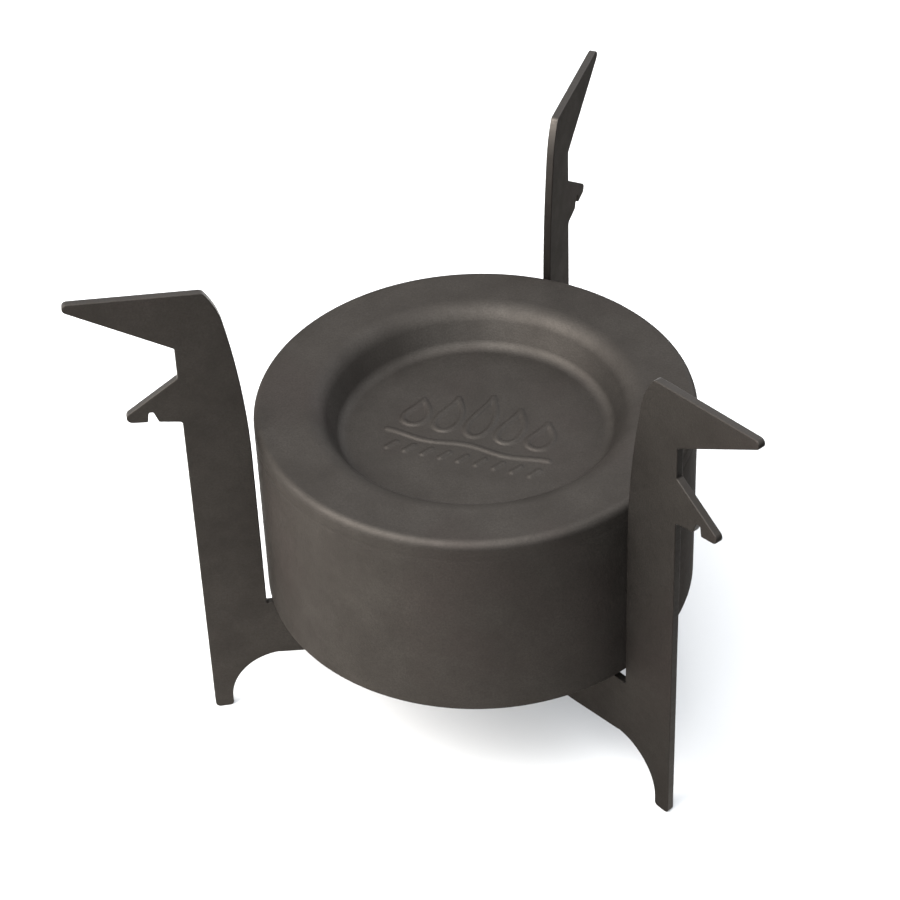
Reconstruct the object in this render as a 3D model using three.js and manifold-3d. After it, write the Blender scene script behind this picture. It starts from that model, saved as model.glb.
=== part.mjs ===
// Folding three-leg stove for solid-fuel tablets and spirit fuel.
// A drawn titanium can, dished on top and fitted with a flame-port deck underneath, stands loose
// on a stand of three flat legs. The legs share one hinge pin on the can's axis.
// Millimetres, +Z up. Heights inside the model are counted from the can's lower rim.

import * as THREE from 'three';
import { mergeGeometries, mergeVertices } from 'three/addons/utils/BufferGeometryUtils.js';
import Module from 'manifold-3d';

// Can
const CAN_RADIUS = 40;
const CAN_HEIGHT = 39.2;
const CAN_WALL = 0.5;
const RIM_ROUND = 1.6;
const LOWER_ROUND = 1.1;
const DISH_FLOOR_RADIUS = 23;
const DISH_EDGE_RADIUS = 31;
const DISH_DEPTH = 7;
const DISH_FLOOR_ROUND = 2.6;
const DISH_LIP_ROUND = 4.6;

// Burner parts inside the can
const SHEET = 0.4;
const FIT_GAP = 0.3;
const DECK_FACE = 0.2;
const DECK_SKIRT_TOP = 6;
const DECK_CORNER_ROUND = 1.8;
const BOWL_LIP_ROUND = 1.2;
const BOWL_RADIUS = 22;
const BOWL_LIP_TOP = 9;
const PORT_COUNT = 24;
const PORT_RADIUS = 0.6;
const PORT_CIRCLE = 32.5;
const LINER_BASE = 4;
const LINER_TOP = CAN_HEIGHT - DISH_DEPTH - CAN_WALL - FIT_GAP;
const NOTCH_COUNT = 8;
const NOTCH_WIDTH = 3;
const NOTCH_HEIGHT = 2.5;
const FELT_PAD_HEIGHT = 4.5;
const RETAINER_HOLE_RADIUS = 1.4;
const RETAINER_HOLE_PITCH = 6;

// Legs, flat plates standing on edge in planes through the can's axis
const LEG_PLATE = 1.5;
const FOOT_BOTTOM = -26.6;
const FOOT_INSIDE = 49;
const BLADE_OUTSIDE = 52.5;
const BLADE_INSIDE = 40.85;
const ARCH_ROUND = 10;
const ARCH_TOP = -14.6;
const ARM_UNDERSIDE = -17.2;
const ARM_TOP = -2.8;
const ARM_INNER_END = 8.5;
const SLOT_BOTTOM = -1.9;
const SEAT_TOP = DECK_FACE - FIT_GAP;
const SEAT_INSIDE = 28.5;
const SEAT_OUTSIDE = 36;
const BILL_TOP = 70.4;
const BILL_SLOPE = 0.0487;
const LEG_AZIMUTHS = { left: 210, rear: 90, right: 330 };

// Hinge: six short sleeves, two for each leg, stacked on one riveted pin
const PIN_RADIUS = 1.5;
const SLEEVE_RADIUS = 3;
const SLEEVE_BORE = PIN_RADIUS + FIT_GAP;
const SLEEVE_TOP = -3.6;
const SLEEVE_BOTTOM = -16.4;
const SLEEVE_ORDER = ['left', 'rear', 'right', 'left', 'rear', 'right'];
const WASHER_RADIUS = 3.6;
const WASHER_THICKNESS = 0.6;
const PIN_HEAD_RADIUS = 3;
const PIN_HEAD_HEIGHT = 1.2;

const ROUND_TOLERANCE = 0.05;
const SMALL_SEGMENTS = 24;
const LARGE_SEGMENTS = 60;

const wasm = await Module();
wasm.setup();

const titanium = { color: 0x4f4a46, roughness: 0.55, metalness: 0.85 };
const feltGrey = { color: 0x1c1c1d, roughness: 1, metalness: 0 };

function radians(degrees) {
  return THREE.MathUtils.degToRad(degrees);
}

// Corners are [x, y, round]. Every corner with a round becomes an arc tangent to both its sides.
function roundedLine(corners, closed) {
  const points = [];
  corners.forEach(([x, y, round = 0], i) => {
    const corner = new THREE.Vector2(x, y);
    const isEnd = !closed && (i === 0 || i === corners.length - 1);
    if (round === 0 || isEnd) {
      points.push(corner);
      return;
    }
    const previous = new THREE.Vector2(...corners.at(i - 1).slice(0, 2));
    const next = new THREE.Vector2(...corners[(i + 1) % corners.length].slice(0, 2));
    const back = previous.sub(corner).normalize();
    const ahead = next.sub(corner).normalize();
    const half = Math.acos(THREE.MathUtils.clamp(back.dot(ahead), -1, 1)) / 2;
    const bisector = back.clone().add(ahead).normalize();
    const centre = corner.clone().addScaledVector(bisector, round / Math.sin(half));
    const from = corner.clone().addScaledVector(back, round / Math.tan(half)).sub(centre);
    const turn = Math.PI - 2 * half;
    const side = Math.sign(back.x * ahead.y - back.y * ahead.x);
    const step = 2 * Math.acos(1 - ROUND_TOLERANCE / Math.max(round, 2 * ROUND_TOLERANCE));
    const count = Math.max(2, Math.ceil(turn / step));
    for (let k = 0; k <= count; k++) {
      points.push(from.clone().rotateAround(new THREE.Vector2(), (-side * turn * k) / count).add(centre));
    }
  });
  return points;
}

// A profile of (radius, height) points, turned about +Z. The outside is listed upwards.
function turned(points, segments) {
  return new THREE.LatheGeometry(points, segments).rotateX(Math.PI / 2);
}

function ring(inner, outer, low, high, segments = LARGE_SEGMENTS) {
  const corners = [[inner, low], [outer, low], [outer, high], [inner, high], [inner, low]];
  return turned(corners.map(([r, z]) => new THREE.Vector2(r, z)), segments);
}

function solid(geometry) {
  const bare = geometry.clone();
  bare.deleteAttribute('normal');
  bare.deleteAttribute('uv');
  const merged = mergeVertices(bare, 1e-4);
  const mesh = new wasm.Mesh({
    numProp: 3,
    vertProperties: new Float32Array(merged.attributes.position.array),
    triVerts: new Uint32Array(merged.index.array),
  });
  mesh.merge();
  return new wasm.Manifold(mesh);
}

function geometryOf(manifold) {
  const mesh = manifold.getMesh();
  const geometry = new THREE.BufferGeometry();
  geometry.setAttribute('position', new THREE.BufferAttribute(mesh.vertProperties, 3));
  geometry.setIndex(new THREE.BufferAttribute(mesh.triVerts, 1));
  return geometry;
}

function cutAll(geometry, cutters) {
  return geometryOf(cutters.reduce((body, cutter) => body.subtract(solid(cutter)), solid(geometry)));
}

function upright(radius, low, high, sides) {
  const cylinder = new THREE.CylinderGeometry(radius, radius, high - low, sides);
  return cylinder.rotateX(Math.PI / 2).translate(0, 0, (low + high) / 2);
}

function piece(name, geometry, look) {
  const mesh = new THREE.Mesh(geometry, new THREE.MeshStandardMaterial(look));
  mesh.name = name;
  return mesh;
}

// Can shell: outside from the middle of the dish to the lower rim, which turns in a little under the
// deck, then back up along the inside.
function canShell() {
  const run = DISH_EDGE_RADIUS - DISH_FLOOR_RADIUS;
  const rounds = DISH_FLOOR_ROUND + DISH_LIP_ROUND;
  // Half the slope's angle, from run = rounds * tan(half) + depth / tan(2 * half)
  const a = rounds - DISH_DEPTH / 2;
  const half = Math.atan((run - Math.sqrt(run * run - 2 * a * DISH_DEPTH)) / (2 * a));
  const shift = Math.tan(half);
  const side = (inset) => {
    const floor = CAN_HEIGHT - DISH_DEPTH - inset;
    const top = CAN_HEIGHT - inset;
    const foot = DISH_FLOOR_RADIUS + (DISH_FLOOR_ROUND + inset) * shift;
    const lip = DISH_EDGE_RADIUS - (DISH_LIP_ROUND - inset) * shift;
    return roundedLine([
      [0, floor],
      [foot, floor, DISH_FLOOR_ROUND + inset],
      [lip, top, DISH_LIP_ROUND - inset],
      [CAN_RADIUS - inset, top, RIM_ROUND - inset],
      [CAN_RADIUS - inset, inset, LOWER_ROUND - inset],
      [CAN_RADIUS - LOWER_ROUND, inset],
    ]);
  };
  const outline = [...side(CAN_WALL), ...side(0).reverse()];
  return turned(outline, LARGE_SEGMENTS);
}

// Deck: a ring pressed into the can's mouth, with a skirt along the wall and a lip around the bowl.
function burnerDeck() {
  const outer = CAN_RADIUS - CAN_WALL - FIT_GAP;
  const under = roundedLine([
    [BOWL_RADIUS, BOWL_LIP_TOP],
    [BOWL_RADIUS, DECK_FACE, BOWL_LIP_ROUND],
    [outer, DECK_FACE, DECK_CORNER_ROUND],
    [outer, DECK_SKIRT_TOP],
  ]);
  const above = roundedLine([
    [outer - SHEET, DECK_SKIRT_TOP],
    [outer - SHEET, DECK_FACE + SHEET, DECK_CORNER_ROUND - SHEET],
    [BOWL_RADIUS + SHEET, DECK_FACE + SHEET, BOWL_LIP_ROUND - SHEET],
    [BOWL_RADIUS + SHEET, BOWL_LIP_TOP],
  ]);
  const deck = turned([...under, ...above, under[0]], LARGE_SEGMENTS);
  const ports = [];
  for (let k = 0; k < PORT_COUNT; k++) {
    const turn = (2 * Math.PI * (k + 0.5)) / PORT_COUNT;
    const port = upright(PORT_RADIUS, -1, 2, 8);
    ports.push(port.translate(PORT_CIRCLE * Math.cos(turn), PORT_CIRCLE * Math.sin(turn), 0));
  }
  return cutAll(deck, [mergeGeometries(ports)]);
}

// Liner: the bowl's wall, notched at its far end so that fuel reaches the felt around it.
function bowlLiner() {
  const inner = BOWL_RADIUS + SHEET + FIT_GAP;
  const notches = [];
  for (let k = 0; k < NOTCH_COUNT; k++) {
    const notch = new THREE.BoxGeometry(6, NOTCH_WIDTH, 2 * NOTCH_HEIGHT);
    notch.translate(inner, 0, LINER_TOP);
    notches.push(notch.rotateZ((2 * Math.PI * k) / NOTCH_COUNT));
  }
  return cutAll(ring(inner, inner + SHEET, LINER_BASE, LINER_TOP), [mergeGeometries(notches)]);
}

function wickRing() {
  const inner = BOWL_RADIUS + 2 * SHEET + 2 * FIT_GAP;
  const outer = CAN_RADIUS - CAN_WALL - FIT_GAP;
  return ring(inner, outer, BOWL_LIP_TOP + FIT_GAP, LINER_TOP, SMALL_SEGMENTS * 2);
}

function bowlFelt() {
  const top = LINER_TOP;
  const corners = [[0, top - FELT_PAD_HEIGHT], [BOWL_RADIUS, top - FELT_PAD_HEIGHT], [BOWL_RADIUS, top], [0, top]];
  return turned(corners.map(([r, z]) => new THREE.Vector2(r, z)), SMALL_SEGMENTS * 2);
}

// Retainer: a perforated disc that keeps the felt pad at the far end of the bowl.
function feltRetainer() {
  const high = LINER_TOP - FELT_PAD_HEIGHT - FIT_GAP;
  const low = high - SHEET;
  const holes = [upright(RETAINER_HOLE_RADIUS, low - 1, high + 1, 8)];
  for (let row = 1; row <= 3; row++) {
    for (let k = 0; k < 6 * row; k++) {
      const turn = (2 * Math.PI * k) / (6 * row);
      const reach = row * RETAINER_HOLE_PITCH;
      const hole = upright(RETAINER_HOLE_RADIUS, low - 1, high + 1, 8);
      holes.push(hole.translate(reach * Math.cos(turn), reach * Math.sin(turn), 0));
    }
  }
  return cutAll(upright(BOWL_RADIUS + SHEET, low, high, SMALL_SEGMENTS * 2), [mergeGeometries(holes)]);
}

// Bottom and top of the hinge sleeve at one level, counted from the top of the stack.
function sleeveLevel(level) {
  const count = SLEEVE_ORDER.length;
  const height = (SLEEVE_TOP - SLEEVE_BOTTOM - (count - 1) * FIT_GAP) / count;
  const top = SLEEVE_TOP - level * (height + FIT_GAP);
  return [top - height, top];
}

function levelsOf(side) {
  return SLEEVE_ORDER.map((owner, level) => (owner === side ? level : -1)).filter((level) => level >= 0);
}

// Leg outline in (radius, height): foot, arch, arm with its hinge tabs, can seat, blade, bill and jaw.
function legOutline(side) {
  const tabs = levelsOf(side).flatMap((level) => {
    const [low, high] = sleeveLevel(level);
    const tip = SLEEVE_RADIUS + FIT_GAP;
    return [[ARM_INNER_END, high, 0.3], [tip, high], [tip, low], [ARM_INNER_END, low, 0.3]];
  });
  return [
    [BLADE_OUTSIDE, FOOT_BOTTOM, 1],
    [BLADE_OUTSIDE, 43.35, 0.6],
    [56.6, 44.05, 0.25],
    [57.4, 46.3, 0.3],
    [58.2, 46.3, 0.3],
    [58.5, 44.25, 0.25],
    [64.08, 44.88, 1.1],
    [BLADE_OUTSIDE, 53.05, 0.5],
    [BLADE_OUTSIDE, 59.4, 0.5],
    [73.5, BILL_TOP + BILL_SLOPE * (73.5 - 47.2), 0.95],
    [46.71, BILL_TOP + BILL_SLOPE * (46.71 - 47.2), 1.2],
    [44.3, 66.94, 16],
    [BLADE_INSIDE, 47.35, 164],
    [BLADE_INSIDE, SLOT_BOTTOM, 0.4],
    [SEAT_OUTSIDE + 0.9, SLOT_BOTTOM, 0.4],
    [SEAT_OUTSIDE, SEAT_TOP, 0.4],
    [SEAT_INSIDE, SEAT_TOP, 0.4],
    [SEAT_INSIDE - 1.5, ARM_TOP, 1],
    [ARM_INNER_END, ARM_TOP, 0.3],
    ...tabs,
    [ARM_INNER_END, ARM_UNDERSIDE, 0.4],
    [27, -16.1, 60],
    [FOOT_INSIDE - ARCH_ROUND, ARCH_TOP],
    [FOOT_INSIDE, ARCH_TOP, ARCH_ROUND],
    [FOOT_INSIDE, FOOT_BOTTOM, 0.8],
  ];
}

function leg(side) {
  const shape = new THREE.Shape(roundedLine(legOutline(side), true));
  const plate = new THREE.ExtrudeGeometry(shape, { depth: LEG_PLATE, bevelEnabled: false });
  return plate.translate(0, 0, -LEG_PLATE / 2).rotateX(Math.PI / 2);
}

function hingeSleeve(level) {
  return ring(SLEEVE_BORE, SLEEVE_RADIUS, ...sleeveLevel(level), SMALL_SEGMENTS);
}

function washer(low) {
  return ring(SLEEVE_BORE, WASHER_RADIUS, low, low + WASHER_THICKNESS, SMALL_SEGMENTS);
}

// Pin with a rounded head above the stack and a riveted one below it.
function hingePin() {
  const top = SLEEVE_TOP + WASHER_THICKNESS + 2 * FIT_GAP;
  const bottom = SLEEVE_BOTTOM - WASHER_THICKNESS - 2 * FIT_GAP;
  const outline = roundedLine([
    [0, bottom - PIN_HEAD_HEIGHT],
    [PIN_HEAD_RADIUS, bottom - PIN_HEAD_HEIGHT, 1],
    [PIN_HEAD_RADIUS, bottom],
    [PIN_RADIUS, bottom],
    [PIN_RADIUS, top],
    [PIN_HEAD_RADIUS, top],
    [PIN_HEAD_RADIUS, top + PIN_HEAD_HEIGHT, 1],
    [0, top + PIN_HEAD_HEIGHT],
  ]);
  return turned(outline, SMALL_SEGMENTS);
}

function legGroup(side) {
  const group = new THREE.Group();
  group.rotation.z = radians(LEG_AZIMUTHS[side]);
  group.add(piece(`leg_${side}`, leg(side), titanium));
  levelsOf(side).forEach((level, i) => {
    const name = `hinge_sleeve_${side}_${i === 0 ? 'upper' : 'lower'}`;
    group.add(piece(name, hingeSleeve(level), titanium));
  });
  return group;
}

const can = new THREE.Group();
can.add(
  piece('burner_can', canShell(), titanium),
  piece('burner_deck', burnerDeck(), titanium),
  piece('bowl_liner', bowlLiner(), titanium),
  piece('wick_ring', wickRing(), feltGrey),
  piece('bowl_felt', bowlFelt(), feltGrey),
  piece('felt_retainer', feltRetainer(), titanium),
);

const stand = new THREE.Group();
stand.add(
  ...Object.keys(LEG_AZIMUTHS).map(legGroup),
  piece('hinge_pin', hingePin(), titanium),
  piece('washer_upper', washer(SLEEVE_TOP + FIT_GAP), titanium),
  piece('washer_lower', washer(SLEEVE_BOTTOM - FIT_GAP - WASHER_THICKNESS), titanium),
);

// The feet stand at z = 0 and the plan's bounding box is centred on the origin.
const stove = new THREE.Group();
stove.add(can, stand);
stove.updateMatrixWorld(true);
const bounds = new THREE.Box3().setFromObject(stove, true);
const middle = bounds.getCenter(new THREE.Vector3());
stove.position.set(-middle.x, -middle.y, -bounds.min.z);

export default stove;
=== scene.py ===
"""Folding three-leg stove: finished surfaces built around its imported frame."""

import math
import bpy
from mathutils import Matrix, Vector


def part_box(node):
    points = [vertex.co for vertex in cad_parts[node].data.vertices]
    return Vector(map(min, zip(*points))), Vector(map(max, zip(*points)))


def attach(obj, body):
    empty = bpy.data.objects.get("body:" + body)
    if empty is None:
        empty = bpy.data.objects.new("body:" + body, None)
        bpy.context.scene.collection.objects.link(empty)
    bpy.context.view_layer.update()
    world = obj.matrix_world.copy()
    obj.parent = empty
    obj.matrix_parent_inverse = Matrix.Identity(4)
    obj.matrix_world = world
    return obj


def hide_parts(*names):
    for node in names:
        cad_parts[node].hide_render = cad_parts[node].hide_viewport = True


bl_info = {
    "name": "Folding Camping Stove",
    "version": (1, 0, 0),
    "blender": (4, 5, 0),
    "location": "3D View > Sidebar > Stove",
    "description": "Builds the finished surfaces of a folding three-leg stove around its frame",
    "category": "Add Mesh",
}

import bmesh
import bpy
import numpy as np
from bpy.props import FloatProperty, FloatVectorProperty, PointerProperty
from mathutils import Matrix, Vector

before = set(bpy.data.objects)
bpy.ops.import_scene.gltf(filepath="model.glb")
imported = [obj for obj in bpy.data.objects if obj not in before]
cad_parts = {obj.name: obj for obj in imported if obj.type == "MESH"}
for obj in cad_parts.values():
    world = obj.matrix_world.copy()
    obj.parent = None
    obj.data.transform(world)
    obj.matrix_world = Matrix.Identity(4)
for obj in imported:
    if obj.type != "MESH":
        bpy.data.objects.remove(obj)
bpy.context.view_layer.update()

MM = 0.001
MERGE = 1e-6
ROUND_TOLERANCE = 0.004
FEWEST_ARC_STEPS = 3
CAN_STEPS = 384
TURNED_STEPS = 192
SMALL_STEPS = 64
SHEET_EDGE_ROUND = 0.12
CUT_PAST = 1

can_low, can_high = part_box("burner_can")
deck_low, deck_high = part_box("burner_deck")
HUB = Vector(((can_low.x + can_high.x) / 2, (deck_low.y + deck_high.y) / 2, can_low.z))
CAN_RADIUS = (can_high.x - can_low.x) / 2 / MM
CAN_HEIGHT = (can_high.z - can_low.z) / MM

LEG_AZIMUTHS = {"left": 210, "rear": 90, "right": 330}
LEG_BODIES = {"left": "left_leg", "rear": "stand", "right": "right_leg"}


def size(name, description, millimetres):
    """A length the user can change, with its default given in millimetres."""
    return FloatProperty(
        name=name,
        description=description,
        default=millimetres * MM,
        min=0,
        unit="LENGTH",
        precision=4,
    )


def colour(name, description, rgb):
    """A linear colour the user can change."""
    return FloatVectorProperty(
        name=name,
        description=description,
        default=rgb,
        min=0,
        max=1,
        size=3,
        subtype="COLOR",
    )


class StoveSizes(bpy.types.PropertyGroup):
    can_wall: size("Can wall", "Thickness of the drawn can", 0.5)
    rim_round: size("Rim round", "Radius of the can's upper edge", 1.6)
    lower_round: size("Lower round", "Radius of the can's lower edge, which turns in", 1.1)
    dish_floor_radius: size("Dish floor", "Radius of the dish floor at its foot", 23)
    dish_edge_radius: size("Dish edge", "Radius of the dish where it meets the top", 31)
    dish_depth: size("Dish depth", "Depth of the dish below the top", 7)
    dish_floor_round: size("Dish floor round", "Radius between the dish floor and its slope", 2.6)
    dish_lip_round: size("Dish lip round", "Radius between the slope and the top", 4.6)
    emboss_height: size("Emboss height", "How far the pressed lines stand above the floor", 0.28)
    emboss_width: size("Emboss width", "Width of the pressed lines", 0.95)
    leg_edge_round: size("Leg edge round", "Radius along the edges of the leg plates", 0.2)


class StoveColours(bpy.types.PropertyGroup):
    titanium: colour("Titanium", "Main tone of the blasted metal", (0.066, 0.0595, 0.0535))
    titanium_dark: colour("Darker titanium", "Darker patches in it", (0.050, 0.0447, 0.0402))
    titanium_stain: colour("Stain", "Faint brown and purple stains", (0.062, 0.0515, 0.0475))
    cut_edge: colour("Cut edge", "Bare edge of the cut plates", (0.050, 0.0445, 0.040))
    turned: colour("Turned metal", "Bare turned pin, sleeves and washers", (0.28, 0.26, 0.24))
    weld_tint: colour("Weld tint", "Straw and blue tint of the welds", (0.16, 0.12, 0.10))
    felt: colour("Felt", "Carbon felt", (0.012, 0.012, 0.013))
    floor: colour("Floor", "Pale floor under the stove", (0.64, 0.64, 0.64))


# Drawing helpers


def place(reach, height):
    """A point by its reach from the can's axis and height above its lower rim, in millimetres."""
    return HUB + Vector((reach * MM, 0, height * MM))


def rounded(corners, closed=False):
    """Points of an outline. A corner (x, y, round) becomes an arc tangent to both of its sides."""
    points = []
    last = len(corners) - 1
    for i, corner in enumerate(corners):
        here = Vector(corner[:2])
        radius = corner[2] if len(corner) > 2 else 0
        if not radius or (not closed and i in (0, last)):
            points.append(here)
            continue
        back = (Vector(corners[i - 1][:2]) - here).normalized()
        ahead = (Vector(corners[(i + 1) % len(corners)][:2]) - here).normalized()
        half = math.acos(max(-1, min(1, back.dot(ahead)))) / 2
        centre = here + (back + ahead).normalized() * radius / math.sin(half)
        spoke = here + back * radius / math.tan(half) - centre
        turn = math.pi - 2 * half
        side = math.copysign(1, back.x * ahead.y - back.y * ahead.x)
        step = 2 * math.acos(1 - ROUND_TOLERANCE / max(radius, 4 * ROUND_TOLERANCE))
        count = max(FEWEST_ARC_STEPS, math.ceil(turn / step))
        for k in range(count + 1):
            points.append(centre + Matrix.Rotation(-side * turn * k / count, 2) @ spoke)
    return points


def ring_corners(inner, outer, low, high, edge):
    """Closed section of a ring with rounded edges."""
    return [(inner, low, edge), (outer, low, edge), (outer, high, edge), (inner, high, edge)]


def ring_span(node):
    """Outer radius, lowest and highest height of a round CAD node, in millimetres."""
    low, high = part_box(node)
    return (high.x - low.x) / 2 / MM, (low.z - HUB.z) / MM, (high.z - HUB.z) / MM


def spaced(start, end, gap):
    """Points from start to end on a straight line, about gap apart."""
    count = max(1, round((end - start).length / gap))
    return [start.lerp(end, k / count) for k in range(count + 1)]


def draw_line(name, points, closed=False):
    """A wire drawn by extruding one vertex from point to point. It is left in edit mode."""
    bpy.ops.object.select_all(action="DESELECT")
    bpy.ops.mesh.primitive_plane_add(size=MM, location=points[0])
    piece = bpy.context.object
    piece.name = name
    piece.data.name = name
    bpy.ops.object.mode_set(mode="EDIT")
    bpy.ops.mesh.merge(type="CENTER")
    for here, there in zip(points, points[1:]):
        bpy.ops.mesh.extrude_region_move(TRANSFORM_OT_translate={"value": there - here})
    if closed:
        mesh = bmesh.from_edit_mesh(piece.data)
        for vertex in mesh.verts:
            vertex.select_set(len(vertex.link_edges) < 2)
        mesh.select_flush_mode()
        bmesh.update_edit_mesh(piece.data)
        bpy.ops.mesh.edge_face_add()
    bpy.ops.mesh.select_all(action="SELECT")
    return piece


def only(piece):
    """Makes piece the one selected and active object."""
    bpy.ops.object.select_all(action="DESELECT")
    piece.select_set(True)
    bpy.context.view_layer.objects.active = piece


def settle(piece):
    """Puts the piece's place into its mesh."""
    only(piece)
    bpy.ops.object.transform_apply(location=True, rotation=True, scale=True)
    return piece


def modify(piece, kind, **values):
    """Adds a modifier and applies it."""
    only(piece)
    modifier = piece.modifiers.new(kind.title(), kind)
    for key, value in values.items():
        setattr(modifier, key, value)
    bpy.ops.object.modifier_apply(modifier=modifier.name)


def smooth(piece):
    """Smooth shading whose normals follow the large faces, so flats stay flat."""
    only(piece)
    bpy.ops.object.shade_smooth()
    modify(piece, "WEIGHTED_NORMAL", mode="FACE_AREA", weight=50, keep_sharp=True)
    return piece


def turned(name, outline, steps, closed=False):
    """An outline of (reach, height) points turned about the can's axis."""
    piece = draw_line(name, [place(*point) for point in outline], closed)
    bpy.ops.mesh.spin(steps=steps, angle=math.tau, center=HUB, axis=(0, 0, 1))
    bpy.ops.mesh.select_all(action="SELECT")
    bpy.ops.mesh.remove_doubles(threshold=MERGE)
    bpy.ops.mesh.normals_make_consistent(inside=False)
    bpy.ops.object.mode_set(mode="OBJECT")
    return settle(piece)


def cut(piece, cutter):
    """Cuts the cutter away from the piece and removes it."""
    modify(piece, "BOOLEAN", operation="DIFFERENCE", solver="EXACT", object=cutter)
    bpy.data.objects.remove(cutter)


def joined(pieces):
    """Joins the pieces into the first one."""
    bpy.ops.object.select_all(action="DESELECT")
    for piece in pieces:
        piece.select_set(True)
    bpy.context.view_layer.objects.active = pieces[0]
    bpy.ops.object.join()
    return pieces[0]


def swung(piece, azimuth):
    """Turns the piece about the can's axis, in its mesh."""
    turn = Matrix.Translation(HUB) @ Matrix.Rotation(math.radians(azimuth), 4, "Z")
    piece.data.transform(turn @ Matrix.Translation(-HUB))
    return piece


def copied(piece, name):
    """A copy of the piece with its own mesh."""
    copy = piece.copy()
    copy.data = piece.data.copy()
    copy.name = name
    copy.data.name = name
    bpy.context.collection.objects.link(copy)
    return copy


def hand_over(piece, body, node, slot, *materials):
    """Gives the finished piece its materials and its body, and hides the CAD node it stands for.
    """
    piece.data.materials.clear()
    for material in materials:
        piece.data.materials.append(material)
    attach(piece, body)
    if node:
        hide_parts(node)
    return piece


# Materials


class Nodes:
    """Builds one node material."""

    def __init__(self, name, **constants):
        self.material = bpy.data.materials.new(name)
        self.material.use_nodes = True
        self.tree = self.material.node_tree
        self.shader = self.tree.nodes["Principled BSDF"]
        for socket, value in constants.items():
            self.shader.inputs[socket.replace("_", " ")].default_value = value
        self.coordinates = self.add("ShaderNodeTexCoord").outputs["Object"]

    def add(self, kind, **values):
        node = self.tree.nodes.new(kind)
        for key, value in values.items():
            setattr(node, key, value)
        return node

    def link(self, source, target):
        self.tree.links.new(source, target)

    def mapped(self, scale=(1, 1, 1), azimuth=0):
        """Object coordinates about the can's axis, turned back by azimuth and then scaled."""
        shift = self.add("ShaderNodeMapping", vector_type="TEXTURE")
        shift.inputs["Location"].default_value = HUB
        shift.inputs["Rotation"].default_value = (0, 0, math.radians(azimuth))
        stretch = self.add("ShaderNodeMapping")
        stretch.inputs["Scale"].default_value = scale
        self.link(self.coordinates, shift.inputs["Vector"])
        self.link(shift.outputs["Vector"], stretch.inputs["Vector"])
        return stretch.outputs["Vector"]

    def noise(self, vector, grain, detail=2, roughness=0.5):
        """Noise from 0 to 1 whose grains are that many millimetres across."""
        node = self.add("ShaderNodeTexNoise")
        node.inputs["Scale"].default_value = 1 / (grain * MM)
        node.inputs["Detail"].default_value = detail
        node.inputs["Roughness"].default_value = roughness
        self.link(vector, node.inputs["Vector"])
        return node.outputs["Fac"]

    def spread(self, value, low, high, from_low=0.3, from_high=0.7):
        """Maps a noise value from its usual span to low and high."""
        node = self.add("ShaderNodeMapRange")
        node.inputs["From Min"].default_value = from_low
        node.inputs["From Max"].default_value = from_high
        node.inputs["To Min"].default_value = low
        node.inputs["To Max"].default_value = high
        self.link(value, node.inputs["Value"])
        return node.outputs["Result"]

    def mix(self, factor, first, second):
        """Mixes two colours. Each is a socket or an (r, g, b)."""
        node = self.add("ShaderNodeMix", data_type="RGBA")
        self.link(factor, node.inputs["Factor"])
        for socket, value in ((node.inputs[6], first), (node.inputs[7], second)):
            if isinstance(value, bpy.types.NodeSocket):
                self.link(value, socket)
            else:
                socket.default_value = (*value, 1)
        return node.outputs[2]

    def bump(self, height, distance, strength=1, below=None):
        """Adds a bump whose full height is distance in millimetres."""
        node = self.add("ShaderNodeBump")
        node.inputs["Strength"].default_value = strength
        node.inputs["Distance"].default_value = distance * MM
        self.link(height, node.inputs["Height"])
        if below:
            self.link(below, node.inputs["Normal"])
        return node.outputs["Normal"]

    def finish(self, **sockets):
        for socket, source in sockets.items():
            self.link(source, self.shader.inputs[socket.replace("_", " ")])
        return self.material


EDGE_TINT = (0.45, 0.45, 0.45, 1)
GRAIN_SHADE = 0.8
WELD_BLUE = (0.10, 0.12, 0.17)
FELT_FIBRE = (0.045, 0.045, 0.048)
FELT_FIBRE_HEIGHT = 0.25
# Painted shade on the floor as the pieces see it, darker towards the front and right
FLOOR_BRIGHT_SIDE = (-0.95, 0.3, 0)
FLOOR_DIM_FROM = -130
FLOOR_BRIGHT_FROM = 60
FLOOR_DIM = (0.03, 0.03, 0.03)
FLOOR_BRIGHT = (0.95, 0.93, 0.90)


def blasted_titanium(name, shade=1.0, grain_height=0.03):
    """Fine-blasted titanium: warm grey, faintly mottled and stained, with a fine even grain."""
    colours = bpy.context.scene.stove_colours
    plain, dark, stain = (
        tuple(shade * channel for channel in tone)
        for tone in (colours.titanium, colours.titanium_dark, colours.titanium_stain)
    )
    build = Nodes(name, Metallic=1.0, Specular_Tint=EDGE_TINT)
    here = build.mapped()
    clouds = build.spread(build.noise(here, 9, 4, 0.6), 0, 1)
    stains = build.spread(build.noise(here, 34, 3, 0.55), 0, 0.8, 0.5, 0.72)
    grain = build.noise(here, 0.34, 3, 0.6)
    base = build.mix(clouds, plain, dark)
    base = build.mix(stains, base, stain)
    pits = tuple(GRAIN_SHADE * channel for channel in dark)
    base = build.mix(build.spread(grain, 0, 0.6), base, pits)
    roughness = build.spread(build.noise(here, 5, 5, 0.65), 0.57, 0.68)
    normal = build.bump(grain, grain_height)
    return build.finish(Base_Color=base, Roughness=roughness, Normal=normal)


def cut_edge(name, azimuth):
    """Edge left by the cutting jet: fine lines across the plate's thickness."""
    colours = bpy.context.scene.stove_colours
    build = Nodes(name, Metallic=1.0)
    lines = build.noise(build.mapped((1, 0.06, 1), azimuth), 0.28, 4, 0.7)
    clouds = build.noise(build.mapped(), 6, 3)
    dark, edge = tuple(colours.titanium_dark), tuple(colours.cut_edge)
    base = build.mix(build.spread(lines, 0, 1), dark, edge)
    base = build.mix(build.spread(clouds, 0, 0.5), base, tuple(colours.titanium))
    roughness = build.spread(lines, 0.36, 0.55)
    return build.finish(Base_Color=base, Roughness=roughness, Normal=build.bump(lines, 0.03))


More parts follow.
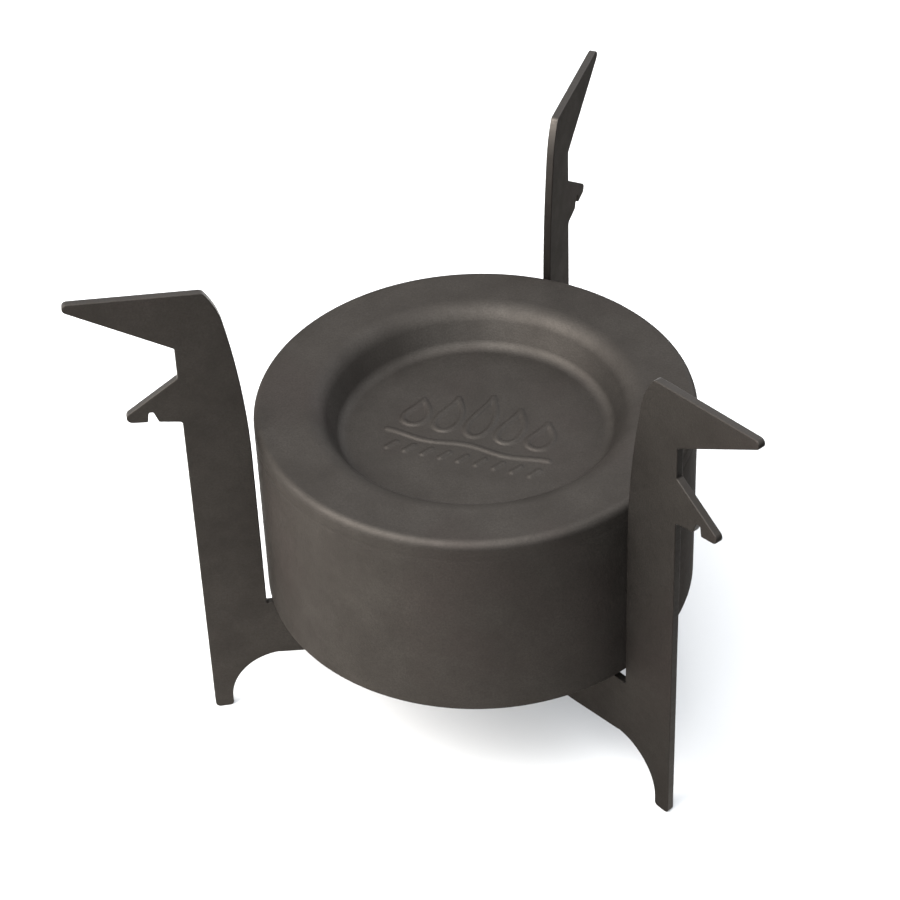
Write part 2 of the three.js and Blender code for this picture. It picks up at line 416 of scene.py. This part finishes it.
def turned_titanium(name):
    """Bare metal from the lathe: fine rings about the pin's axis."""
    colours = bpy.context.scene.stove_colours
    build = Nodes(name, Metallic=1.0)
    rings = build.noise(build.mapped((0.15, 0.15, 1)), 0.12, 3, 0.6)
    smudges = build.noise(build.mapped(), 2.5, 3)
    base = build.mix(build.spread(smudges, 0, 0.5), tuple(colours.turned), tuple(colours.titanium))
    roughness = build.spread(smudges, 0.28, 0.45)
    return build.finish(Base_Color=base, Roughness=roughness, Normal=build.bump(rings, 0.01))


def tinted_weld(name):
    """Weld bead with a heat tint."""
    colours = bpy.context.scene.stove_colours
    build = Nodes(name, Metallic=1.0)
    tint = build.noise(build.mapped(), 0.8, 3)
    base = build.mix(build.spread(tint, 0, 1), tuple(colours.weld_tint), WELD_BLUE)
    roughness = build.spread(tint, 0.25, 0.4)
    return build.finish(Base_Color=base, Roughness=roughness, Normal=build.bump(tint, 0.02))


def carbon_felt(name):
    """Needled carbon felt: black, matted fibres with small needle marks."""
    colours = bpy.context.scene.stove_colours
    build = Nodes(name, Roughness=0.95)
    build.shader.inputs["Sheen Weight"].default_value = 0.35
    build.shader.inputs["Sheen Roughness"].default_value = 0.5
    fibres = build.noise(build.mapped((0.25, 1, 0.6), 20), 0.35, 6, 0.75)
    strands = build.noise(build.mapped((1, 0.25, 0.6), 65), 0.35, 6, 0.75)
    tufts = build.noise(build.mapped(), 2.2, 3)
    base = build.mix(build.spread(fibres, 0, 1), tuple(colours.felt), FELT_FIBRE)
    base = build.mix(build.spread(tufts, 0, 0.5), base, tuple(colours.felt))
    under = build.bump(fibres, FELT_FIBRE_HEIGHT)
    normal = build.bump(strands, FELT_FIBRE_HEIGHT, below=under)
    return build.finish(Base_Color=base, Normal=normal)


def pale_floor(name):
    """Pale floor. What the metal sees of it has painted shade: darker towards the front and right.
    """
    tone = tuple(bpy.context.scene.stove_colours.floor)
    build = Nodes(name, Roughness=0.6)
    along = build.add("ShaderNodeVectorMath", operation="DOT_PRODUCT")
    along.inputs[1].default_value = FLOOR_BRIGHT_SIDE
    build.link(build.mapped(), along.inputs[0])
    share = build.spread(along.outputs["Value"], 0, 1, FLOOR_DIM_FROM * MM, FLOOR_BRIGHT_FROM * MM)
    # Painted shade: the pieces see the floor darker towards the front and right; the camera sees
    # it plain
    painted_shade = build.mix(share, FLOOR_DIM, FLOOR_BRIGHT)
    to_camera = build.add("ShaderNodeLightPath").outputs["Is Camera Ray"]
    return build.finish(Base_Color=build.mix(to_camera, painted_shade, tone))


# The can


def dish_outline(inset, sizes):
    """Half section of the can's top, from the dish's middle to the wall, inset into the metal."""
    run = (sizes.dish_edge_radius - sizes.dish_floor_radius) / MM
    depth = sizes.dish_depth / MM
    floor_round = sizes.dish_floor_round / MM
    lip_round = sizes.dish_lip_round / MM
    # Half the slope's angle, from run = rounds * tan(half) + depth / tan(2 * half)
    excess = floor_round + lip_round - depth / 2
    lean = (run - math.sqrt(run * run - 2 * excess * depth)) / (2 * excess)
    foot = sizes.dish_floor_radius / MM + (floor_round + inset) * lean
    lip = sizes.dish_edge_radius / MM - (lip_round - inset) * lean
    floor = CAN_HEIGHT - depth - inset
    top = CAN_HEIGHT - inset
    return [
        (0, floor),
        (foot, floor, floor_round + inset),
        (lip, top, lip_round - inset),
        (CAN_RADIUS - inset, top, sizes.rim_round / MM - inset),
    ]


DRAW_LINE_HEIGHT = CAN_HEIGHT - 3.6
DRAW_LINE_WIDTH = 0.7
DRAW_LINE_DEPTH = 0.06
DRAW_LINE_SIDE_ROUND = 2
DRAW_LINE_ROUND = 0.5
EMBOSS_GRID = 0.25
EMBOSS_MARGIN = 1
EMBOSS_FOOT = 1.55
EMBOSS_FLANK = 1.1
FAR_OFF = 99.0

FLAME_HEIGHTS = (7.6, 9.8, 12, 9.8, 7.6)
FLAME_SPACING = 6
FLAME_BASE = -2.2
FLAME_WIDTH = 5
FLAME_LEAN = 0.9
FLAME_TAPER = 1.35
FLAME_FULLNESS = 1.18
FLAME_STEPS = 90
WAVE_HALF_LENGTH = 15.4
WAVE_LEVEL = -5.2
WAVE_SWELL = 0.5
WAVE_STEPS = 120
STROKE_SPACING = 3.4
STROKE_LEVEL = -9.6
STROKE_STEP = (0.25, 0.45)


def can_outline(sizes):
    """The can's closed half section: out from the dish, down the outside, up the inside."""
    wall = sizes.can_wall / MM
    lower = sizes.lower_round / MM
    outside = dish_outline(0, sizes) + [
        (CAN_RADIUS, DRAW_LINE_HEIGHT + DRAW_LINE_WIDTH, DRAW_LINE_SIDE_ROUND),
        (CAN_RADIUS - DRAW_LINE_DEPTH, DRAW_LINE_HEIGHT, DRAW_LINE_ROUND),
        (CAN_RADIUS, DRAW_LINE_HEIGHT - DRAW_LINE_WIDTH, DRAW_LINE_SIDE_ROUND),
        (CAN_RADIUS, 0, lower),
        (CAN_RADIUS - lower, 0, SHEET_EDGE_ROUND),
        (CAN_RADIUS - lower, wall, SHEET_EDGE_ROUND),
        (CAN_RADIUS - wall, wall, lower - wall),
    ]
    inside = dish_outline(wall, sizes)[::-1]
    points = rounded(outside + inside)
    floor_end = points[1]
    return [*spaced(points[0], floor_end, EMBOSS_GRID), *points[2:]]


def flame_line(centre_x, height):
    """Points along the outline of a flame that leans a little."""
    points = []
    for k in range(FLAME_STEPS):
        turn = math.tau * k / FLAME_STEPS
        up = 0.5 + 0.5 * math.cos(turn)
        taper = math.sin(turn) * math.sin(turn / 2) ** FLAME_TAPER * FLAME_FULLNESS
        lean = FLAME_LEAN * math.sin(math.pi * up) * up
        points.append((centre_x + 0.5 * FLAME_WIDTH * taper + lean, FLAME_BASE + height * up))
    return points


def wave_line():
    """Points along a shallow double wave."""
    points = []
    for k in range(WAVE_STEPS + 1):
        share = 2 * k / WAVE_STEPS - 1
        level = WAVE_LEVEL + WAVE_SWELL * math.cos(math.tau * share)
        points.append((WAVE_HALF_LENGTH * share, level))
    return points


def emblem_points():
    """The plain pressed emblem: a row of flames above a wave and short strokes."""
    lines = []
    for k, height in enumerate(FLAME_HEIGHTS):
        lines += flame_line(FLAME_SPACING * (k - 2), height)
    lines += wave_line()
    across, up = STROKE_STEP
    for k in range(-4, 5):
        start = STROKE_SPACING * k
        lines += [(start + across * step, STROKE_LEVEL + up * step) for step in range(5)]
    return np.array(lines)


def press_emblem(can, sizes):
    """Raises the emblem's lines from the dish floor."""
    reach = sizes.dish_floor_radius / MM - EMBOSS_MARGIN
    floor = can_high.z - sizes.dish_depth
    spots = []
    for vertex in can.data.vertices:
        flat = (vertex.co - HUB) / MM
        if abs(vertex.co.z - floor) < MERGE and flat.xy.length < reach:
            spots.append((vertex.index, flat.x, flat.y))
    spots = np.array(spots)
    gaps = np.full(len(spots), FAR_OFF)
    for x, y in emblem_points():
        gaps = np.minimum(gaps, np.hypot(spots[:, 1] - x, spots[:, 2] - y))
    half = sizes.emboss_width / MM / 2
    rise = np.clip((EMBOSS_FOOT * half - gaps) / (EMBOSS_FLANK * half), 0, 1)
    rise = rise * rise * (3 - 2 * rise)
    group = can.vertex_groups.new(name="emblem")
    for (index, _, _), share in zip(spots, rise):
        if share > 0:
            group.add([int(index)], float(share), "REPLACE")
    modify(
        can,
        "DISPLACE",
        direction="Z",
        strength=sizes.emboss_height,
        mid_level=0,
        vertex_group="emblem",
    )
    can.vertex_groups.clear()


class STOVE_OT_can(bpy.types.Operator):
    """Draws the can with its dish, rounds and pressed emblem"""

    bl_idname = "stove.build_can"
    bl_label = "Can"

    def execute(self, context):
        sizes = context.scene.stove_sizes
        can = turned("burner_can_shell", can_outline(sizes), CAN_STEPS)
        press_emblem(can, sizes)
        smooth(can)
        hand_over(can, "can", "burner_can", "can_titanium", blasted_titanium("can_titanium"))
        return {"FINISHED"}


# The burner underneath


DECK_SHEET = 0.4
DECK_SKIRT = 5.8
DECK_CORNER_ROUND = 1.6
BOWL_RADIUS = 22
BOWL_LIP_ROUND = 1.2
PORT_COUNT = 24
PORT_RADIUS = 0.6
PORT_CIRCLE = 32.5
PORT_SIDES = 24

NOTCH_COUNT = 8
NOTCH_SIZE = Vector((6, 3, 5))
NOTCH_ROUND = 0.6

FELT_TUFT = 1.6
RING_INNER = BOWL_RADIUS + 1.45
RING_INSET = 0.05
RING_EDGE_ROUND = 0.7
RING_GAP = 0.9
RING_MATTING = 0.35
PAD_EDGE_ROUND = 0.8
PAD_GAP = 0.6
PAD_MATTING = 0.4

HOLE_RADIUS = 1.4
HOLE_PITCH = 6
HOLE_SIDES = 32
HOLE_BEVEL = 0.07
HOLE_BEVEL_ANGLE = 1.0


def pegs(name, spots, radius, low, high, sides):
    """Round upright pegs at the given (x, y) millimetres from the axis, as one cutter."""
    first = None
    copies = []
    for x, y in spots:
        if first is None:
            bpy.ops.object.select_all(action="DESELECT")
            bpy.ops.mesh.primitive_cylinder_add(
                vertices=sides,
                radius=radius * MM,
                depth=(high - low) * MM,
                location=HUB + Vector((x * MM, y * MM, (low + high) / 2 * MM)),
            )
            first = bpy.context.object
            first.name = name
            settle(first)
            start = Vector((x, y, 0))
            copies.append(first)
            continue
        copy = copied(first, name)
        copy.data.transform(Matrix.Translation((Vector((x, y, 0)) - start) * MM))
        copies.append(copy)
    return joined(copies)


def circle_spots(count, reach, offset=0.0):
    """Evenly spaced spots on a circle."""
    turns = [math.tau * (k + offset) / count for k in range(count)]
    return [(reach * math.cos(turn), reach * math.sin(turn)) for turn in turns]


class STOVE_OT_deck(bpy.types.Operator):
    """Presses the deck with its flame ports and the lip around the bowl"""

    bl_idname = "stove.build_deck"
    bl_label = "Deck"

    def execute(self, context):
        outer, face, lip_top = ring_span("burner_deck")
        inner_face = face + DECK_SHEET
        skirt_top = face + DECK_SKIRT
        corners = [
            (BOWL_RADIUS, lip_top, SHEET_EDGE_ROUND),
            (BOWL_RADIUS, face, BOWL_LIP_ROUND),
            (outer, face, DECK_CORNER_ROUND),
            (outer, skirt_top, SHEET_EDGE_ROUND),
            (outer - DECK_SHEET, skirt_top, SHEET_EDGE_ROUND),
            (outer - DECK_SHEET, inner_face, DECK_CORNER_ROUND - DECK_SHEET),
            (BOWL_RADIUS + DECK_SHEET, inner_face, BOWL_LIP_ROUND - DECK_SHEET),
            (BOWL_RADIUS + DECK_SHEET, lip_top, SHEET_EDGE_ROUND),
        ]
        deck = turned("burner_deck_ring", rounded(corners, True), TURNED_STEPS, True)
        ports = circle_spots(PORT_COUNT, PORT_CIRCLE, 0.5)
        span = (face - CUT_PAST, face + 2 * CUT_PAST)
        cut(deck, pegs("port_cutter", ports, PORT_RADIUS, *span, PORT_SIDES))
        smooth(deck)
        hand_over(deck, "can", "burner_deck", "can_titanium", blasted_titanium("deck_titanium"))
        return {"FINISHED"}


class STOVE_OT_liner(bpy.types.Operator):
    """Rolls the bowl's liner with its fuel notches"""

    bl_idname = "stove.build_liner"
    bl_label = "Bowl liner"

    def execute(self, context):
        outer, base, top = ring_span("bowl_liner")
        corners = ring_corners(outer - DECK_SHEET, outer, base, top, SHEET_EDGE_ROUND)
        liner = turned("bowl_liner_wall", rounded(corners, True), TURNED_STEPS, True)
        notches = []
        for k in range(NOTCH_COUNT):
            bpy.ops.object.select_all(action="DESELECT")
            bpy.ops.mesh.primitive_cube_add(
                size=1, location=place(outer, top), scale=NOTCH_SIZE * MM
            )
            notch = settle(bpy.context.object)
            modify(notch, "BEVEL", width=NOTCH_ROUND * MM, segments=4)
            notches.append(swung(notch, 360 / NOTCH_COUNT * k))
        cut(liner, joined(notches))
        smooth(liner)
        hand_over(liner, "can", "bowl_liner", "can_titanium", blasted_titanium("liner_titanium"))
        return {"FINISHED"}


def matted(piece, depth):
    """Gives a felt piece its uneven surface, pushed inwards only."""
    texture = bpy.data.textures.new(piece.name + "_mat", "CLOUDS")
    texture.noise_scale = FELT_TUFT * MM
    texture.noise_depth = 2
    modify(
        piece,
        "DISPLACE",
        texture=texture,
        texture_coords="LOCAL",
        strength=-depth * MM,
        mid_level=0,
    )


def filled(line, gap):
    """The line's points with more set between them, about gap apart, up to its last point."""
    points = []
    for here, there in zip(line, line[1:]):
        points += spaced(here, there, gap)[:-1]
    return points


class STOVE_OT_felts(bpy.types.Operator):
    """Packs the carbon felt ring and the felt pad of the bowl"""

    bl_idname = "stove.build_felts"
    bl_label = "Carbon felts"

    def execute(self, context):
        felt = carbon_felt("carbon_felt")
        outer, base, top = ring_span("wick_ring")
        corners = ring_corners(RING_INNER, outer - RING_INSET, base, top, RING_EDGE_ROUND)
        line = rounded(corners, True)
        ring_line = filled([*line, line[0]], RING_GAP)
        ring = turned("wick_ring_felt", ring_line, TURNED_STEPS, True)
        matted(ring, RING_MATTING)
        smooth(ring)
        hand_over(ring, "can", "wick_ring", "carbon_felt", felt)
        outer, base, top = ring_span("bowl_felt")
        edge = PAD_EDGE_ROUND
        line = rounded([(0, base), (outer, base, edge), (outer, top, edge), (0, top)])
        pad = turned("bowl_felt_pad", [*filled(line, PAD_GAP), line[-1]], TURNED_STEPS)
        matted(pad, PAD_MATTING)
        smooth(pad)
        hand_over(pad, "can", "bowl_felt", "carbon_felt", felt)
        return {"FINISHED"}


class STOVE_OT_retainer(bpy.types.Operator):
    """Punches the perforated disc that keeps the felt pad in place"""

    bl_idname = "stove.build_retainer"
    bl_label = "Felt retainer"

    def execute(self, context):
        outer, base, top = ring_span("felt_retainer")
        edge = SHEET_EDGE_ROUND
        outline = rounded([(0, base), (outer, base, edge), (outer, top, edge), (0, top)])
        disc = turned("felt_retainer_disc", outline, TURNED_STEPS)
        spots = [(0, 0)]
        for row in (1, 2, 3):
            spots += circle_spots(6 * row, HOLE_PITCH * row)
        span = (base - CUT_PAST, top + CUT_PAST)
        cut(disc, pegs("hole_cutter", spots, HOLE_RADIUS, *span, HOLE_SIDES))
        modify(
            disc,
            "BEVEL",
            width=HOLE_BEVEL * MM,
            segments=2,
            limit_method="ANGLE",
            angle_limit=HOLE_BEVEL_ANGLE,
        )
        smooth(disc)
        metal = blasted_titanium("retainer_titanium")
        hand_over(disc, "can", "felt_retainer", "can_titanium", metal)
        return {"FINISHED"}


# The legs


FOOT_BOTTOM = -HUB.z / MM
BLADE_OUTSIDE = 52.5
BLADE_INSIDE = 40.85
FOOT_INSIDE = 49
ARCH_TOP = -14.6
ARCH_ROUND = 10
ARM_INNER_END = 8.5
ARM_TOP = -2.8
ARM_UNDERSIDE = -17.2
TAB_INNER_END = 3.3
SEAT_TOP = -0.1
SLOT_BOTTOM = -1.9
BILL_TIP_REACH = 73.5
BILL_INNER_REACH = 46.71
BILL_SLOPE = 0.0487
FACE_SHADE = 0.76
CUT_FACE_LIMIT = 0.3


def bill_top(reach):
    """Height of the bill's top edge, which rises outwards."""
    return 70.4 + BILL_SLOPE * (reach - 47.2)


def leg_corners(side):
    """Outline of one leg: foot, blade, jaw, bill, can seat, arm with its hinge tabs, arch."""
    tabs = []
    for which in ("upper", "lower"):
        _, low, high = ring_span(f"hinge_sleeve_{side}_{which}")
        tabs += [
            (ARM_INNER_END, high, 0.3),
            (TAB_INNER_END, high),
            (TAB_INNER_END, low),
            (ARM_INNER_END, low, 0.3),
        ]
    return [
        (BLADE_OUTSIDE, FOOT_BOTTOM, 1),
        (BLADE_OUTSIDE, 43.35, 0.6),
        (56.6, 44.05, 0.25),
        (57.4, 46.3, 0.3),
        (58.2, 46.3, 0.3),
        (58.5, 44.25, 0.25),
        (64.08, 44.88, 1.1),
        (BLADE_OUTSIDE, 53.05, 0.5),
        (BLADE_OUTSIDE, 59.4, 0.5),
        (BILL_TIP_REACH, bill_top(BILL_TIP_REACH), 0.95),
        (BILL_INNER_REACH, bill_top(BILL_INNER_REACH), 1.2),
        (44.3, 66.94, 16),
        (BLADE_INSIDE, 47.35, 164),
        (BLADE_INSIDE, SLOT_BOTTOM, 0.4),
        (36.9, SLOT_BOTTOM, 0.4),
        (36, SEAT_TOP, 0.4),
        (28.5, SEAT_TOP, 0.4),
        (27, ARM_TOP, 1),
        (ARM_INNER_END, ARM_TOP, 0.3),
        *tabs,
        (ARM_INNER_END, ARM_UNDERSIDE, 0.4),
        (27, -16.1, 60),
        (FOOT_INSIDE - ARCH_ROUND, ARCH_TOP),
        (FOOT_INSIDE, ARCH_TOP, ARCH_ROUND),
        (FOOT_INSIDE, FOOT_BOTTOM, 0.8),
    ]


def cut_leg(side, plate, sizes):
    """One leg cut from plate, its edges rounded, in the plane of azimuth 0."""
    outline = [place(x, y) for x, y in rounded(leg_corners(side), True)]
    leg = draw_line(f"leg_{side}_plate", outline, True)
    bpy.ops.mesh.edge_face_add()
    bpy.ops.object.mode_set(mode="OBJECT")
    settle(leg)
    modify(leg, "SOLIDIFY", thickness=plate, offset=0)
    modify(
        leg,
        "BEVEL",
        width=sizes.leg_edge_round,
        segments=3,
        limit_method="ANGLE",
        angle_limit=math.radians(60),
        use_clamp_overlap=False,
        miter_outer="MITER_ARC",
    )
    only(leg)
    bpy.ops.object.mode_set(mode="EDIT")
    bpy.ops.mesh.select_all(action="SELECT")
    bpy.ops.mesh.normals_make_consistent(inside=False)
    bpy.ops.object.mode_set(mode="OBJECT")
    return leg


def part_edges(leg):
    """Gives the second material to the faces along the plate's cut edge."""
    for face in leg.data.polygons:
        face.material_index = 1 if abs(face.normal.y) < CUT_FACE_LIMIT else 0


class STOVE_OT_legs(bpy.types.Operator):
    """Cuts the three legs from plate and rounds their edges"""

    bl_idname = "stove.build_legs"
    bl_label = "Legs"

    def execute(self, context):
        sizes = context.scene.stove_sizes
        low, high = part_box("leg_rear")
        plate = high.x - low.x
        face = blasted_titanium("leg_titanium", shade=FACE_SHADE)
        for side, azimuth in LEG_AZIMUTHS.items():
            leg = cut_leg(side, plate, sizes)
            edge = cut_edge(f"leg_{side}_edge", azimuth)
            hand_over(leg, LEG_BODIES[side], f"leg_{side}", "leg_titanium", face, edge)
            part_edges(leg)
            swung(leg, azimuth)
            smooth(leg)
        return {"FINISHED"}


# The hinge


BORE_RADIUS = 1.8
SLEEVE_RADIUS = 3
SLEEVE_EDGE_ROUND = 0.22
WASHER_RADIUS = 3.6
WELD_HEIGHT = 1.88
WELD_PITCH = 0.19
WELD_RADIUS = 0.42
WELD_VOXEL = 0.07
WELD_REACH = 3.12
WELD_OFFSET = 0.72
PIN_RADIUS = 1.5
PIN_HEAD_RADIUS = 3
PIN_HEAD = 1.2
PIN_DOME = 0.7
PIN_DIMPLE = 0.12


def weld_bead():
    """A short rippled weld bead, upright beside the arm's tab."""
    ripples = []
    for k in range(5):
        bpy.ops.object.select_all(action="DESELECT")
        level = (k - 2) * WELD_HEIGHT * WELD_PITCH * MM
        bpy.ops.mesh.primitive_uv_sphere_add(
            segments=24,
            ring_count=12,
            radius=WELD_RADIUS * MM,
            location=HUB + Vector((0, 0, level)),
        )
        ripple = bpy.context.object
        ripple.scale = (1, 0.8, 0.75)
        ripples.append(settle(ripple))
    bead = joined(ripples)
    bead.name = "weld_bead"
    modify(bead, "REMESH", mode="VOXEL", voxel_size=WELD_VOXEL * MM, adaptivity=0)
    modify(bead, "SMOOTH", iterations=4, factor=0.5)
    smooth(bead)
    return bead


class STOVE_OT_hinge(bpy.types.Operator):
    """Turns the pin, sleeves and washers, and welds the sleeves to their legs"""

    bl_idname = "stove.build_hinge"
    bl_label = "Hinge"

    def execute(self, context):
        metal = turned_titanium("hinge_titanium")
        weld = tinted_weld("weld_titanium")
        bead = weld_bead()
        for side, azimuth in LEG_AZIMUTHS.items():
            for which in ("upper", "lower"):
                name = f"hinge_sleeve_{side}_{which}"
                _, low, high = ring_span(name)
                corners = ring_corners(BORE_RADIUS, SLEEVE_RADIUS, low, high, SLEEVE_EDGE_ROUND)
                section = rounded(corners, True)
                sleeve = smooth(turned(name + "_turned", section, SMALL_STEPS, True))
                hand_over(sleeve, LEG_BODIES[side], name, "hinge_titanium", metal)
                beads = []
                for edge in (-1, 1):
                    copy = copied(bead, f"weld_{side}_{which}")
                    shift = Vector((WELD_REACH, edge * WELD_OFFSET, (low + high) / 2)) * MM
                    copy.data.transform(Matrix.Translation(shift))
                    beads.append(swung(copy, azimuth))
                hand_over(joined(beads), LEG_BODIES[side], None, "hinge_titanium", weld)
        bpy.data.objects.remove(bead)
        for which in ("upper", "lower"):
            _, low, high = ring_span(f"washer_{which}")
            corners = ring_corners(BORE_RADIUS, WASHER_RADIUS, low, high, SHEET_EDGE_ROUND)
            section = rounded(corners, True)
            washer = smooth(turned(f"washer_{which}_ring", section, SMALL_STEPS, True))
            hand_over(washer, "stand", f"washer_{which}", "hinge_titanium", metal)
        self.rivet_pin(metal)
        return {"FINISHED"}

    def rivet_pin(self, metal):
        """The pin with a domed head above the stack and a riveted one below it."""
        _, bottom, top = ring_span("hinge_pin")
        outline = rounded(
            [
                (0, bottom + PIN_DIMPLE),
                (0.9, bottom + PIN_DIMPLE, 0.3),
                (1.1, bottom, 0.2),
                (2.0, bottom, 0.9),
                (PIN_HEAD_RADIUS, bottom + PIN_DOME, 0.5),
                (PIN_HEAD_RADIUS, bottom + PIN_HEAD, 0.1),
                (PIN_RADIUS, bottom + PIN_HEAD),
                (PIN_RADIUS, top - PIN_HEAD),
                (PIN_HEAD_RADIUS, top - PIN_HEAD, 0.1),
                (PIN_HEAD_RADIUS, top - PIN_DOME, 0.5),
                (1.9, top, 1.6),
                (0, top),
            ]
        )
        pin = smooth(turned("hinge_pin_riveted", outline, SMALL_STEPS))
        hand_over(pin, "stand", "hinge_pin", "hinge_titanium", metal)


# The stage


FLOOR_RADIUS = 4
FLOOR_INSET = 3
LIGHT_AIM = 20
WORLD_FADE = (-0.6, 0.9)

VIEW_AZIMUTH = math.radians(20.59)
VIEW_ELEVATION = 0.7220
VIEW_DISTANCE = 516.65 * MM
VIEW_AIM = (-4.876 * MM, 27.58 * MM)
VIEW_ROLL = -0.0403
VIEW_LENS = 109.33


def aimed(eye, aim, roll=0.0):
    """World matrix of a camera or light at eye that looks at aim."""
    back = (eye - aim).normalized()
    right = Vector((0, 0, 1)).cross(back).normalized()
    turn = Matrix((right, back.cross(right), back)).transposed().to_4x4()
    return Matrix.Translation(eye) @ turn @ Matrix.Rotation(roll, 4, "Z")


def add_camera():
    """The camera, aimed from the front and right, well above the stove."""
    sine, cosine = math.sin(VIEW_AZIMUTH), math.cos(VIEW_AZIMUTH)
    flat = math.cos(VIEW_ELEVATION)
    back = Vector((sine * flat, -cosine * flat, math.sin(VIEW_ELEVATION)))
    across = Vector((cosine, sine, 0))
    aim = HUB + across * VIEW_AIM[0] + Vector((0, 0, VIEW_AIM[1]))
    bpy.ops.object.camera_add()
    camera = bpy.context.object
    camera.name = "camera"
    camera.matrix_world = aimed(HUB + back * VIEW_DISTANCE, aim, VIEW_ROLL)
    camera.data.sensor_width = 36
    camera.data.lens = VIEW_LENS
    camera.data.clip_start = 0.01
    camera.data.clip_end = 50
    bpy.context.scene.camera = camera


def add_panel_light(name, azimuth, elevation, distance, extent, power, tint):
    """A square soft light that looks at the stove."""
    turn, rise = math.radians(azimuth), math.radians(elevation)
    flat = math.cos(rise)
    back = Vector((math.cos(turn) * flat, math.sin(turn) * flat, math.sin(rise)))
    aim = HUB + Vector((0, 0, LIGHT_AIM * MM))
    bpy.ops.object.light_add(type="AREA")
    light = bpy.context.object
    light.name = name
    light.matrix_world = aimed(aim + back * distance, aim)
    light.data.size = extent
    light.data.energy = power
    light.data.color = tint


def light_room(strength, tint, dim_side, dim_share):
    """Even light from all round, weaker towards one side."""
    world = bpy.data.worlds.new("studio")
    bpy.context.scene.world = world
    world.use_nodes = True
    tree = world.node_tree
    background = tree.nodes["Background"]
    background.inputs["Strength"].default_value = strength
    direction = tree.nodes.new("ShaderNodeTexCoord")
    turn = tree.nodes.new("ShaderNodeVectorMath")
    turn.operation = "DOT_PRODUCT"
    turn.inputs[1].default_value = dim_side
    fade = tree.nodes.new("ShaderNodeMapRange")
    fade.interpolation_type = "SMOOTHSTEP"
    fade.inputs["From Min"].default_value = WORLD_FADE[0]
    fade.inputs["From Max"].default_value = WORLD_FADE[1]
    mix = tree.nodes.new("ShaderNodeMix")
    mix.data_type = "RGBA"
    mix.inputs[6].default_value = (*tint, 1)
    mix.inputs[7].default_value = (*(dim_share * t for t in tint), 1)
    tree.links.new(direction.outputs["Generated"], turn.inputs[0])
    tree.links.new(turn.outputs["Value"], fade.inputs["Value"])
    tree.links.new(fade.outputs["Result"], mix.inputs["Factor"])
    tree.links.new(mix.outputs[2], background.inputs["Color"])


class STOVE_OT_stage(bpy.types.Operator):
    """Sets the pale floor, the soft lights and the camera"""

    bl_idname = "stove.build_stage"
    bl_label = "Stage"

    def execute(self, context):
        context.scene.view_settings.view_transform = "Standard"
        bpy.ops.object.select_all(action="DESELECT")
        bpy.ops.mesh.primitive_circle_add(
            vertices=96, radius=FLOOR_RADIUS, fill_type="NGON", location=(0, 0, 0)
        )
        floor = bpy.context.object
        floor.name = "floor"
        bpy.ops.object.mode_set(mode="EDIT")
        bpy.ops.mesh.inset(thickness=FLOOR_INSET)
        bpy.ops.object.mode_set(mode="OBJECT")
        floor.data.materials.append(pale_floor("pale_floor"))
        add_camera()
        add_panel_light("key", 224, 44, 1.1, 0.7, 23, (1, 0.97, 0.93))
        add_panel_light("fill", 292, 34, 1.4, 0.8, 7, (0.93, 0.97, 1))
        add_panel_light("over", 285, 68, 1.3, 0.8, 10, (0.93, 0.97, 1))
        add_panel_light("back", 66, 26, 1.3, 0.8, 7, (0.84, 0.91, 1))
        light_room(1.6, (0.97, 0.98, 1.0), (0.85, 0.2, -0.4), 0.45)
        return {"FINISHED"}


class STOVE_PT_panel(bpy.types.Panel):
    """Stove pieces, sizes and colours"""

    bl_idname = "STOVE_PT_panel"
    bl_label = "Folding stove"
    bl_space_type = "VIEW_3D"
    bl_region_type = "UI"
    bl_category = "Stove"

    def draw(self, context):
        layout = self.layout
        for operator in OPERATORS:
            layout.operator(operator.bl_idname)
        scene = context.scene
        for title, group in (("Sizes", scene.stove_sizes), ("Colours", scene.stove_colours)):
            box = layout.box()
            box.label(text=title)
            for key in group.__annotations__:
                box.prop(group, key)


OPERATORS = (
    STOVE_OT_stage,
    STOVE_OT_can,
    STOVE_OT_deck,
    STOVE_OT_liner,
    STOVE_OT_felts,
    STOVE_OT_retainer,
    STOVE_OT_legs,
    STOVE_OT_hinge,
)
CLASSES = (StoveSizes, StoveColours, *OPERATORS, STOVE_PT_panel)


def register():
    for cls in CLASSES:
        bpy.utils.register_class(cls)
    bpy.types.Scene.stove_sizes = PointerProperty(type=StoveSizes)
    bpy.types.Scene.stove_colours = PointerProperty(type=StoveColours)


def unregister():
    del bpy.types.Scene.stove_colours
    del bpy.types.Scene.stove_sizes
    for cls in reversed(CLASSES):
        bpy.utils.unregister_class(cls)


def main():
    register()
    bpy.ops.stove.build_stage()
    bpy.ops.stove.build_can()
    bpy.ops.stove.build_deck()
    bpy.ops.stove.build_liner()
    bpy.ops.stove.build_felts()
    bpy.ops.stove.build_retainer()
    bpy.ops.stove.build_legs()
    bpy.ops.stove.build_hinge()


if __name__ == "__main__":
    main()
